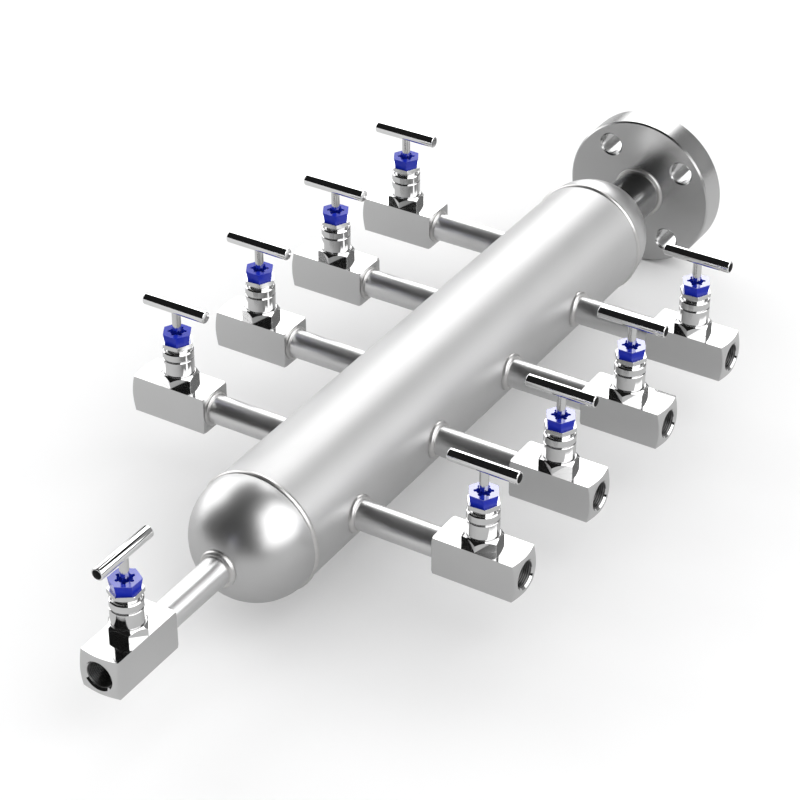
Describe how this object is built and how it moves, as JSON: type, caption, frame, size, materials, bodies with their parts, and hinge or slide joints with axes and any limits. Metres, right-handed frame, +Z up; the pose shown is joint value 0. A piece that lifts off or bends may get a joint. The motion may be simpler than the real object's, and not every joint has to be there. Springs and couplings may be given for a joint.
{
  "type": "valve header",
  "caption": "Stainless pipe header with domed ends, a drilled inlet flange, staggered side branches and a drain, each ending in a square needle valve with a T-bar handle.",
  "frame": {"origin": "centre of the inlet flange's raised face, on the header axis", "axes": "+Y out of the inlet flange along the header axis, +X towards the right-hand outlets, +Z up along the valve stems"},
  "size_m": [0.435, 0.9421, 0.1763],
  "materials": {
    "shell_steel": "satin ground stainless",
    "pipe_steel": "satin drawn stainless",
    "weld": "rippled, pickled",
    "flange_steel": "machined forging",
    "block_steel": "polished bright",
    "turned_steel": "turned and polished",
    "handle_chrome": "bright",
    "blue_cap": "glossy moulded, royal blue",
    "ptfe": "waxy white"
  },
  "bodies": {
    "header": {"shell": "shell_steel", "front_cap": "shell_steel", "rear_cap": "shell_steel", "girth_welds": "weld", "fillet_welds": "weld", "inlet_nozzle": "pipe_steel", "flange": "flange_steel", "right_nipples": "pipe_steel", "left_nipples": "pipe_steel", "drain_nipple": "pipe_steel", "bonnet_seals": "ptfe", "packing_rings": "ptfe", "glands": "turned_steel", "gland_nuts": "turned_steel", "dust_caps": "blue_cap", "right_1_valve_block": "block_steel", "right_1_bonnet": "turned_steel", "right_2_valve_block": "block_steel", "right_2_bonnet": "turned_steel", "right_3_valve_block": "block_steel", "right_3_bonnet": "turned_steel", "right_4_valve_block": "block_steel", "right_4_bonnet": "turned_steel", "left_1_valve_block": "block_steel", "left_1_bonnet": "turned_steel", "left_2_valve_block": "block_steel", "left_2_bonnet": "turned_steel", "left_3_valve_block": "block_steel", "left_3_bonnet": "turned_steel", "left_4_valve_block": "block_steel", "left_4_bonnet": "turned_steel", "drain_valve_block": "block_steel", "drain_bonnet": "turned_steel"},
    "right_1_needle_slide": {"right_1_needle": "turned_steel"},
    "right_1_stem": {"right_1_spindle": "turned_steel", "right_1_handle": "handle_chrome"},
    "right_2_needle_slide": {"right_2_needle": "turned_steel"},
    "right_2_stem": {"right_2_spindle": "turned_steel", "right_2_handle": "handle_chrome"},
    "right_3_needle_slide": {"right_3_needle": "turned_steel"},
    "right_3_stem": {"right_3_spindle": "turned_steel", "right_3_handle": "handle_chrome"},
    "right_4_needle_slide": {"right_4_needle": "turned_steel"},
    "right_4_stem": {"right_4_spindle": "turned_steel", "right_4_handle": "handle_chrome"},
    "left_1_needle_slide": {"left_1_needle": "turned_steel"},
    "left_1_stem": {"left_1_spindle": "turned_steel", "left_1_handle": "handle_chrome"},
    "left_2_needle_slide": {"left_2_needle": "turned_steel"},
    "left_2_stem": {"left_2_spindle": "turned_steel", "left_2_handle": "handle_chrome"},
    "left_3_needle_slide": {"left_3_needle": "turned_steel"},
    "left_3_stem": {"left_3_spindle": "turned_steel", "left_3_handle": "handle_chrome"},
    "left_4_needle_slide": {"left_4_needle": "turned_steel"},
    "left_4_stem": {"left_4_spindle": "turned_steel", "left_4_handle": "handle_chrome"},
    "drain_needle_slide": {"drain_needle": "turned_steel"},
    "drain_stem": {"drain_spindle": "turned_steel", "drain_handle": "handle_chrome"}
  },
  "joints": [
    {"name": "right_1_lift", "type": "slide", "parent": "header", "child": "right_1_needle_slide", "axis": [0, 0, 1], "range_m": [0, 0.006]},
    {"name": "right_1_turn", "type": "hinge", "parent": "right_1_needle_slide", "child": "right_1_stem", "pos_m": [0.1765, -0.65715, 0.09], "axis": [0, 0, 1], "range_deg": [0, 1440]},
    {"name": "right_2_lift", "type": "slide", "parent": "header", "child": "right_2_needle_slide", "axis": [0, 0, 1], "range_m": [0, 0.006]},
    {"name": "right_2_turn", "type": "hinge", "parent": "right_2_needle_slide", "child": "right_2_stem", "pos_m": [0.1765, -0.52795, 0.09], "axis": [0, 0, 1], "range_deg": [0, 1440]},
    {"name": "right_3_lift", "type": "slide", "parent": "header", "child": "right_3_needle_slide", "axis": [0, 0, 1], "range_m": [0, 0.006]},
    {"name": "right_3_turn", "type": "hinge", "parent": "right_3_needle_slide", "child": "right_3_stem", "pos_m": [0.1765, -0.39875, 0.09], "axis": [0, 0, 1], "range_deg": [0, 1440]},
    {"name": "right_4_lift", "type": "slide", "parent": "header", "child": "right_4_needle_slide", "axis": [0, 0, 1], "range_m": [0, 0.006]},
    {"name": "right_4_turn", "type": "hinge", "parent": "right_4_needle_slide", "child": "right_4_stem", "pos_m": [0.1765, -0.26955, 0.09], "axis": [0, 0, 1], "range_deg": [0, 1440]},
    {"name": "left_1_lift", "type": "slide", "parent": "header", "child": "left_1_needle_slide", "axis": [0, 0, 1], "range_m": [0, 0.006]},
    {"name": "left_1_turn", "type": "hinge", "parent": "left_1_needle_slide", "child": "left_1_stem", "pos_m": [-0.1765, -0.58965, 0.09], "axis": [0, 0, 1], "range_deg": [0, 1440]},
    {"name": "left_2_lift", "type": "slide", "parent": "header", "child": "left_2_needle_slide", "axis": [0, 0, 1], "range_m": [0, 0.006]},
    {"name": "left_2_turn", "type": "hinge", "parent": "left_2_needle_slide", "child": "left_2_stem", "pos_m": [-0.1765, -0.46045, 0.09], "axis": [0, 0, 1], "range_deg": [0, 1440]},
    {"name": "left_3_lift", "type": "slide", "parent": "header", "child": "left_3_needle_slide", "axis": [0, 0, 1], "range_m": [0, 0.006]},
    {"name": "left_3_turn", "type": "hinge", "parent": "left_3_needle_slide", "child": "left_3_stem", "pos_m": [-0.1765, -0.33125, 0.09], "axis": [0, 0, 1], "range_deg": [0, 1440]},
    {"name": "left_4_lift", "type": "slide", "parent": "header", "child": "left_4_needle_slide", "axis": [0, 0, 1], "range_m": [0, 0.006]},
    {"name": "left_4_turn", "type": "hinge", "parent": "left_4_needle_slide", "child": "left_4_stem", "pos_m": [-0.1765, -0.20205, 0.09], "axis": [0, 0, 1], "range_deg": [0, 1440]},
    {"name": "drain_lift", "type": "slide", "parent": "header", "child": "drain_needle_slide", "axis": [0, 0, 1], "range_m": [0, 0.006]},
    {"name": "drain_turn", "type": "hinge", "parent": "drain_needle_slide", "child": "drain_stem", "pos_m": [0, -0.90115, 0.09], "axis": [0, 0, 1], "range_deg": [0, 1440]}
  ],
  "couplings": [
    {"joint": "right_1_lift", "follows": "right_1_turn", "m_per_rad": 0.00023873},
    {"joint": "right_2_lift", "follows": "right_2_turn", "m_per_rad": 0.00023873},
    {"joint": "right_3_lift", "follows": "right_3_turn", "m_per_rad": 0.00023873},
    {"joint": "right_4_lift", "follows": "right_4_turn", "m_per_rad": 0.00023873},
    {"joint": "left_1_lift", "follows": "left_1_turn", "m_per_rad": 0.00023873},
    {"joint": "left_2_lift", "follows": "left_2_turn", "m_per_rad": 0.00023873},
    {"joint": "left_3_lift", "follows": "left_3_turn", "m_per_rad": 0.00023873},
    {"joint": "left_4_lift", "follows": "left_4_turn", "m_per_rad": 0.00023873},
    {"joint": "drain_lift", "follows": "drain_turn", "m_per_rad": 0.00023873}
  ]
}
